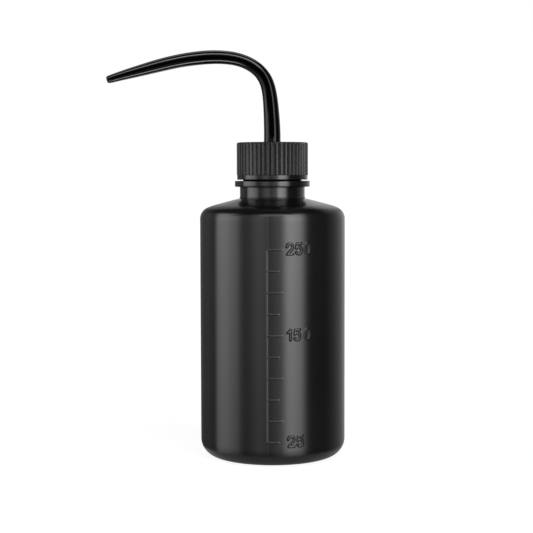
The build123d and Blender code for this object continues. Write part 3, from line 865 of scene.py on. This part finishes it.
def natural_cubic(knots, values, at):
    """Natural cubic spline through the rows of values at the knots."""
    n = len(knots)
    h = np.diff(knots)
    matrix = np.zeros((n, n))
    target = np.zeros((n, values.shape[1]))
    matrix[0, 0] = matrix[-1, -1] = 1
    for i in range(1, n - 1):
        matrix[i, i - 1], matrix[i, i], matrix[i, i + 1] = h[i - 1], 2 * (h[i - 1] + h[i]), h[i]
        target[i] = 3 * ((values[i + 1] - values[i]) / h[i]
                         - (values[i] - values[i - 1]) / h[i - 1])
    square = np.linalg.solve(matrix, target)
    k = np.clip(np.searchsorted(knots, at) - 1, 0, n - 2)
    dx = (at - knots[k])[:, None]
    hk = h[k][:, None]
    linear = (values[k + 1] - values[k]) / hk - hk * (2 * square[k] + square[k + 1]) / 3
    cubic = (square[k + 1] - square[k]) / (3 * hk)
    return values[k] + linear * dx + square[k] * dx ** 2 + cubic * dx ** 3


def smoothed(values, passes):
    kernel = np.array([1, 4, 6, 4, 1]) / 16.0
    for _ in range(passes):
        values = np.convolve(np.pad(values, 2, mode="edge"), kernel, "valid")
    return values


def spout_ring(centre, tangent, in_plane, across):
    """A ring square to the tangent; in_plane is its radius in the bend's plane (XZ)."""
    turn = np.linspace(0, 2 * math.pi, 64, endpoint=False)
    side = in_plane * np.cos(turn)
    return np.stack([centre[0] + tangent[1] * side, across * np.sin(turn),
                     centre[1] - tangent[0] * side], -1)


def spout_object():
    lengths = np.r_[0, np.cumsum(np.hypot(*np.diff(SPINE[:, :2], axis=0).T))]
    total = lengths[-1]
    along = np.linspace(0, total, 150)
    path = natural_cubic(lengths, SPINE, along)
    centres = path[:, :2]
    outer, bore = (smoothed(path[:, column], passes=6) for column in (2, 3))
    tangents = np.gradient(centres, axis=0)
    tangents /= np.linalg.norm(tangents, axis=1)[:, None]
    # the tube goes slightly oval where it bends
    heading = np.unwrap(np.arctan2(tangents[:, 1], tangents[:, 0]))
    bend = smoothed(np.abs(np.gradient(heading, along)), passes=8)
    oval = 0.06 * (bend / bend.max())

    # socket, hub and flange about the bottle's axis
    flange_z = WASHER_Z1 + 1.25
    profile = rounded([
        (2.0, 133.9, 0), (2.0, flange_z - 0.3, 0.1), (1.7, flange_z - 0.6, 0.1),
        (1.7, WASHER_Z0, 0.1), (2.51, WASHER_Z0, 0.1), (2.51, HUB_Z0 + 0.4, 0.1),
        (2.91, HUB_Z0, 0.12), (4.2, HUB_Z0, 0.3), (4.6, HUB_Z0 + 0.4, 0.2),
        (4.6, WASHER_Z1, 0.05), (12.2, WASHER_Z1, 0.1), (12.4, WASHER_Z1 + 0.2, 0.1),
        (12.4, flange_z - 0.3, 0.2), (12.1, flange_z, 0.2), (4.25, flange_z, 0.25),
        (3.62, flange_z + 0.6, 0.5), (3.57, 134.5, 0)], max_len=1.6, arc_step=20)
    rings = [spout_ring((0, z), (0, 1), r, r) for r, z in profile]
    for i in range(1, len(path)):
        if along[i] <= total - TIP_LEN:
            rings.append(spout_ring(centres[i], tangents[i], outer[i] * (1 - oval[i] * 0.3),
                                    outer[i] * (1 + oval[i])))
    # the tip falls away in a generous round to a thin rim, which turns into the bore
    end, way = centres[-1], tangents[-1]
    rim = bore[-1] + TIP_RIM
    for turn in np.radians(np.linspace(0, 90, 13)):
        r = rim + (outer[-1] - rim) * math.cos(turn)
        rings.append(spout_ring(end + way * (TIP_LEN * math.sin(turn) - TIP_LEN), way, r, r))
    for turn in np.radians((30, 60, 90)):
        r = rim - TIP_RIM * math.sin(turn)
        rings.append(spout_ring(end - way * (TIP_RIM * (1 - math.cos(turn))), way, r, r))
    for i in range(len(path) - 1, 0, -2):
        if along[i] <= total - 0.4:
            rings.append(spout_ring(centres[i], tangents[i], bore[i], bore[i]))
    return product_object("spout_moulding", *closed_loft(rings), mat_spout, "spout",
                          "spout_gloss_black", "spout")


# ------------------------------------------------------------------ dip tube and washer
def tube_object():
    outer, inner = 2.5, 1.7
    angles = np.linspace(-180, 180, 40, endpoint=False)

    def low(radius):
        """The oblique end, lowest on the -X side."""
        slope = math.tan(math.radians(28))
        return TUBE_Z0 + slope * (outer + radius * np.sin(np.radians(angles)))

    rings = [(outer - 0.08, low(outer)), (outer, low(outer) + 0.10)]
    rings += [(outer, z) for z in np.linspace(8, TUBE_Z1 - 0.3, 24)]
    rings += [(outer - 0.06, TUBE_Z1 - 0.06), (outer - 0.18, TUBE_Z1),
              (inner + 0.18, TUBE_Z1), (inner + 0.02, TUBE_Z1 - 0.10)]
    rings += [(inner, z) for z in np.linspace(TUBE_Z1 - 0.5, 8, 12)]
    rings += [(inner, low(inner) + 0.08), (inner + 0.08, low(inner))]
    loft = closed_loft([on_circle(angles, r, z) for r, z in rings])
    return product_object("suction_tube", *loft, mat_tube, "spout", "tube_natural", "dip_tube")


def washer_object():
    angles = np.linspace(-180, 180, 96, endpoint=False)
    hole_r = 4.68
    middle = (WASHER_Z0 + WASHER_Z1) / 2
    # the profile starts and ends at the middle of the hole's wall
    profile = rounded([(hole_r, middle, 0), (hole_r, WASHER_Z0, 0.12),
                       (WASHER_R, WASHER_Z0, 0.16), (WASHER_R, WASHER_Z1, 0.16),
                       (hole_r, WASHER_Z1, 0.12), (hole_r, middle + 0.001, 0)],
                      max_len=1.2, arc_step=25)[:-1]
    loft = closed_loft([on_circle(angles, r, z) for r, z in profile])
    return product_object("seal_ring", *loft, mat_washer, "closure", "washer_natural",
                          "sealing_washer")


bottle = bottle_object()
cap = cap_object()
spout = spout_object()
tube = tube_object()
washer = washer_object()
for product in (bottle, cap, spout, tube, washer):
    face_outwards(product.data)


# ------------------------------------------------------------------ camera
def add_camera():
    camera = bpy.data.cameras.new("camera")
    ob = add_object("camera", camera)
    camera.sensor_width = 36.0
    camera.lens = 95.04
    camera.clip_start, camera.clip_end = 0.01, 20.0
    ob.location = (-2.594 * MM, -603.2 * MM, 122.5 * MM)
    ob.rotation_mode = "QUATERNION"
    # it looks along +Y and 3.903 degrees down, with a slight roll
    tilt = Quaternion((1, 0, 0), math.radians(90 - 3.903))
    roll = Quaternion((0, 0, 1), math.radians(-0.135))
    ob.rotation_quaternion = tilt @ roll
    scene.camera = ob


add_camera()


# ------------------------------------------------------------------ stage
def stage_object(name, verts, faces, material, hidden_from):
    mesh = bpy.data.meshes.new(name)
    mesh.from_pydata(verts, [], faces)
    ob = add_object(name, mesh)
    mesh.materials.append(material)
    for ray in hidden_from:
        setattr(ob, "visible_" + ray, False)


def floor_material():
    """Paper that glows nearly white and takes a little light."""
    mat = bpy.data.materials.new("floor_paper")
    g = Graph(mat)
    paper = g.noise(g.object_coord(), scale=30.0, detail=4.0)
    glow = g.node("Emission", {"Strength": 0.90, "Color": g.mix(
        paper, (0.985, 0.985, 0.985, 1), (1, 1, 1, 1))})
    diffuse = g.node("BsdfDiffuse", {"Color": (0.20, 0.20, 0.20, 1)})
    g.output(g.node("AddShader", {0: glow.outputs[0], 1: diffuse.outputs[0]}))
    return mat


def add_floor(half=3.0, steps=12):
    row = steps + 1
    verts = [(-half + 2 * half * i / steps, -half + 2 * half * j / steps, 0.0)
             for j in range(row) for i in range(row)]
    faces = [(j * row + i, j * row + i + 1, (j + 1) * row + i + 1, (j + 1) * row + i)
             for j in range(steps) for i in range(steps)]
    stage_object("studio_floor", verts, faces, floor_material(),
                 hidden_from=("glossy", "shadow"))


def contact_material():
    """A grey glow that is darkest in the middle and clears towards the edge."""
    mat = bpy.data.materials.new("floor_shade")
    g = Graph(mat)
    distance = g.node("VectorMath", {0: g.object_coord()}, operation="LENGTH").outputs["Value"]
    glow = g.node("Emission", {"Strength": g.remap(
        distance, source=(0.022, 0.031), target=(0.12, 0.38))})
    clear = g.node("BsdfTransparent")
    fade = g.remap(distance, source=(0.0315, 0.0378), target=(0.0, 1.0), smooth=True)
    g.output(g.node("MixShader", {0: fade, 1: glow.outputs[0], 2: clear.outputs[0]}))
    mat.cycles.emission_sampling = "NONE"
    return mat


def add_contact(count=64, radii=(0.010, 0.018, 0.024, 0.029, 0.034, 0.038)):
    """The shaded floor close round the base, seen only in reflections."""
    turns = [2 * math.pi * i / count for i in range(count)]
    verts = [(r * math.cos(t), r * math.sin(t), -0.0004) for r in radii for t in turns]
    faces = [tuple(range(count))]
    for k in range(len(radii) - 1):
        for i in range(count):
            j = (i + 1) % count
            faces.append((k * count + i, k * count + j,
                          (k + 1) * count + j, (k + 1) * count + i))
    stage_object("studio_contact", verts, faces, contact_material(),
                 hidden_from=("camera", "diffuse", "shadow", "transmission"))


def add_flag():
    """A black flag in front of the spout, hidden from the camera itself."""
    mat = bpy.data.materials.new("flag_cloth")
    g = Graph(mat)
    g.output(g.node("BsdfDiffuse", {"Color": (0.004, 0.004, 0.004, 1)}))
    # outline as x, z: a rectangle with a step in its lower edge
    outline = ((-0.090, 0.150), (-0.034, 0.150), (-0.034, 0.137), (0.027, 0.137),
               (0.027, 0.195), (-0.090, 0.195))
    stage_object("studio_flag", [(x, -0.045, z) for x, z in outline], [tuple(range(6))], mat,
                 hidden_from=("camera", "diffuse", "transmission"))


def strip_light(name, size, place, aim, radiance, only, spread=180.0):
    """A rectangular light that falls on the given objects alone; spread in degrees."""
    lamp = bpy.data.lights.new(name, "AREA")
    lamp.shape = "RECTANGLE"
    lamp.size, lamp.size_y = size
    lamp.spread = math.radians(spread)
    lamp.energy = radiance * math.pi * size[0] * size[1]
    ob = add_object(name, lamp)
    ob.location = place
    ob.rotation_euler = (Vector(aim) - Vector(place)).to_track_quat("-Z", "Y").to_euler()
    ob.visible_camera = False
    ob.visible_diffuse = False
    group = bpy.data.collections.new(name + "_lights")
    for receiver in only:
        group.objects.link(receiver)
    ob.light_linking.receiver_collection = group


add_floor()
add_contact()
# a reflector lying on the floor in front, and two strips above the spout
strip_light("floor_reflector", size=(0.36, 0.050), place=(0.0, -0.075, 0.0005),
            aim=(0.0, -0.075, 1.0), radiance=3.6, only=(spout, cap), spread=75)
strip_light("spout_strip_front", size=(0.80, 0.10), place=(-0.035, -0.353, 0.655),
            aim=(-0.035, 0.0, 0.168), radiance=10.0, only=(spout,))
strip_light("spout_strip_back", size=(0.80, 0.34), place=(-0.035, 0.25, 0.78),
            aim=(-0.035, 0.0, 0.168), radiance=1.7, only=(spout,))
add_flag()

# ------------------------------------------------------------------ world: soft panels
# Radiance is looked up by azimuth (0 towards the camera, + towards +X), by elevation, and by
# tilt: the upward tilt of the surface that would mirror a direction to the camera.
# All angles are in degrees.

# side panels and the gaps between them: azimuth, radiance
AZIMUTH_LEFT = [
    (-180, 0.12), (-166, 0.12), (-152, 0.122), (-138, 0.117), (-124, 0.207), (-113, 0.20),
    (-106, 0.15), (-101, 0.45), (-97, 1.60), (-92, 1.98), (-86, 2.20), (-78, 2.32),
    (-70, 1.943), (-63, 1.752), (-57, 1.36), (-51, 0.56), (-45, 0.33), (-37, 0.41),
    (-28, 0.80), (-18, 0.93), (-8, 0.41), (0, 0.49)]
AZIMUTH_RIGHT = [
    (0, 0.49), (6, 0.72), (11, 0.86), (15, 1.12), (19, 2.62), (24, 3.92), (31, 3.98),
    (39, 3.304), (45, 2.90), (51, 1.10), (57, 0.16), (66, 0.054), (78, 0.049), (92, 0.03),
    (106, 0.162), (120, 0.30), (134, 0.406), (148, 0.522), (162, 0.504), (180, 0.475)]
# how the panels fall off below the horizon: elevation, factor
NEAR_HORIZON = [(-9, 0.92), (-7, 1.0), (-5.3, 1.0), (-3.7, 1.12), (-2, 1.36), (0, 1.42),
                (90, 1.42)]
FALL_SIDES = [(-90, 0.06), (-70, 0.14), (-55, 0.26), (-40, 0.38), (-28, 0.54), (-18, 0.70),
              (-11, 0.78)] + NEAR_HORIZON
FALL_CENTRE = [(-90, 0.10), (-55, 0.16), (-36, 0.40), (-28, 0.60),
               (-11.5, 0.78)] + NEAR_HORIZON
# the panels end at a tilt of about 30: tilt, factor
PANEL_TOP = [(-90, 1.0), (0, 1.0), (15, 0.97), (24, 0.84), (29, 0.66), (33, 0.22), (37, 0.02),
             (90, 0.0)]
# a narrow soft strip above the camera: elevation, factor
STRIP = [(-90, 0), (38, 0.0), (45, 1.0), (62, 1.0), (70, 0), (90, 0)]
# the dark ceiling, a little grey to either side: azimuth, radiance; tilt, factor
CEILING_AZIMUTH = [(-180, 0.30), (-140, 0.12), (-118, 0.07), (-100, 0.0), (85, 0.0),
                   (106, 0.42), (130, 0.50), (180, 0.50)]
CEILING_TILT = [(-90, 0.0), (26, 0.0), (37, 0.8), (50, 1.0), (90, 1.0)]
# the pale backdrop low behind the object: tilt, factor; elevation, radiance
BACKDROP_TILT = [(-90, 0.0), (47, 0.0), (57, 0.22), (64, 0.45), (67, 0.65), (69.5, 1.0),
                 (90, 1.0)]
BACKDROP_ELEVATION = [(-90, 0), (-3, 0.0), (1, 1.0), (7, 0.85), (12, 0.60), (17, 0.36),
                      (22, 0.36), (26, 0.44), (31, 0.42), (35, 0.2), (38, 0.04), (90, 0.03)]
AMBIENT = 0.012


def studio_radiance(g):
    direction = g.axes(g.node("TexCoord").outputs["Generated"])
    # the mirroring surface faces along (x, y - 1, z); azimuth is twice its turn
    facing = g.math("SUBTRACT", 1.0, direction["Y"])
    azimuth = g.times(g.math("ARCTAN2", direction["X"], facing), 360 / math.pi)
    length = g.math("SQRT", g.math("MAXIMUM", g.times(facing, 2.0), 1e-6))
    tilt = g.times(g.math("ARCSINE", g.math("DIVIDE", direction["Z"], length)), 180 / math.pi)
    elevation = g.times(g.math("ARCSINE", direction["Z"]), 180 / math.pi)

    on_right = g.math("GREATER_THAN", azimuth, 0.0)
    on_left = g.math("SUBTRACT", 1.0, on_right)
    left = g.times(g.curve(azimuth, AZIMUTH_LEFT, scale=4.0), on_left)
    left = g.times(left, g.remap(elevation, source=(-11, -6), target=(0.87, 1.0)))
    right = g.times(g.curve(azimuth, AZIMUTH_RIGHT, scale=4.0), on_right)
    panels = g.plus(left, right)

    off_centre = g.math("ABSOLUTE", azimuth)
    centre = g.remap(off_centre, source=(11, 15), target=(1, 0))
    sides = g.math("SUBTRACT", 1.0, centre)
    fall = g.plus(g.times(g.curve(elevation, FALL_SIDES, scale=2.0), sides),
                  g.times(g.curve(elevation, FALL_CENTRE, scale=2.0), centre))
    total = g.times(g.times(panels, fall), g.curve(tilt, PANEL_TOP))

    strip = g.times(g.remap(off_centre, source=(14, 24), target=(1, 0)),
                    g.curve(elevation, STRIP))
    total = g.plus(total, g.times(strip, 1.1))
    ceiling = g.times(g.curve(azimuth, CEILING_AZIMUTH), g.curve(tilt, CEILING_TILT))
    total = g.plus(total, ceiling)
    backdrop = g.times(g.curve(tilt, BACKDROP_TILT),
                       g.curve(elevation, BACKDROP_ELEVATION, scale=2.0))
    return g.plus(g.plus(total, backdrop), AMBIENT)


def add_world():
    """The panels light the object; the camera itself sees plain white."""
    world = bpy.data.worlds.new("studio")
    scene.world = world
    g = Graph(world)
    studio = g.node("Background", {"Color": (1, 1, 1, 1), "Strength": studio_radiance(g)})
    white = g.node("Background", {"Color": (1, 1, 1, 1), "Strength": 1.0})
    to_camera = g.node("LightPath").outputs["Is Camera Ray"]
    g.output(g.node("MixShader", {0: to_camera, 1: studio.outputs[0], 2: white.outputs[0]}),
             kind="OutputWorld")


add_world()

scene.view_settings.view_transform = "Standard"
scene.view_settings.look = "None"
scene.view_settings.exposure = 0.0
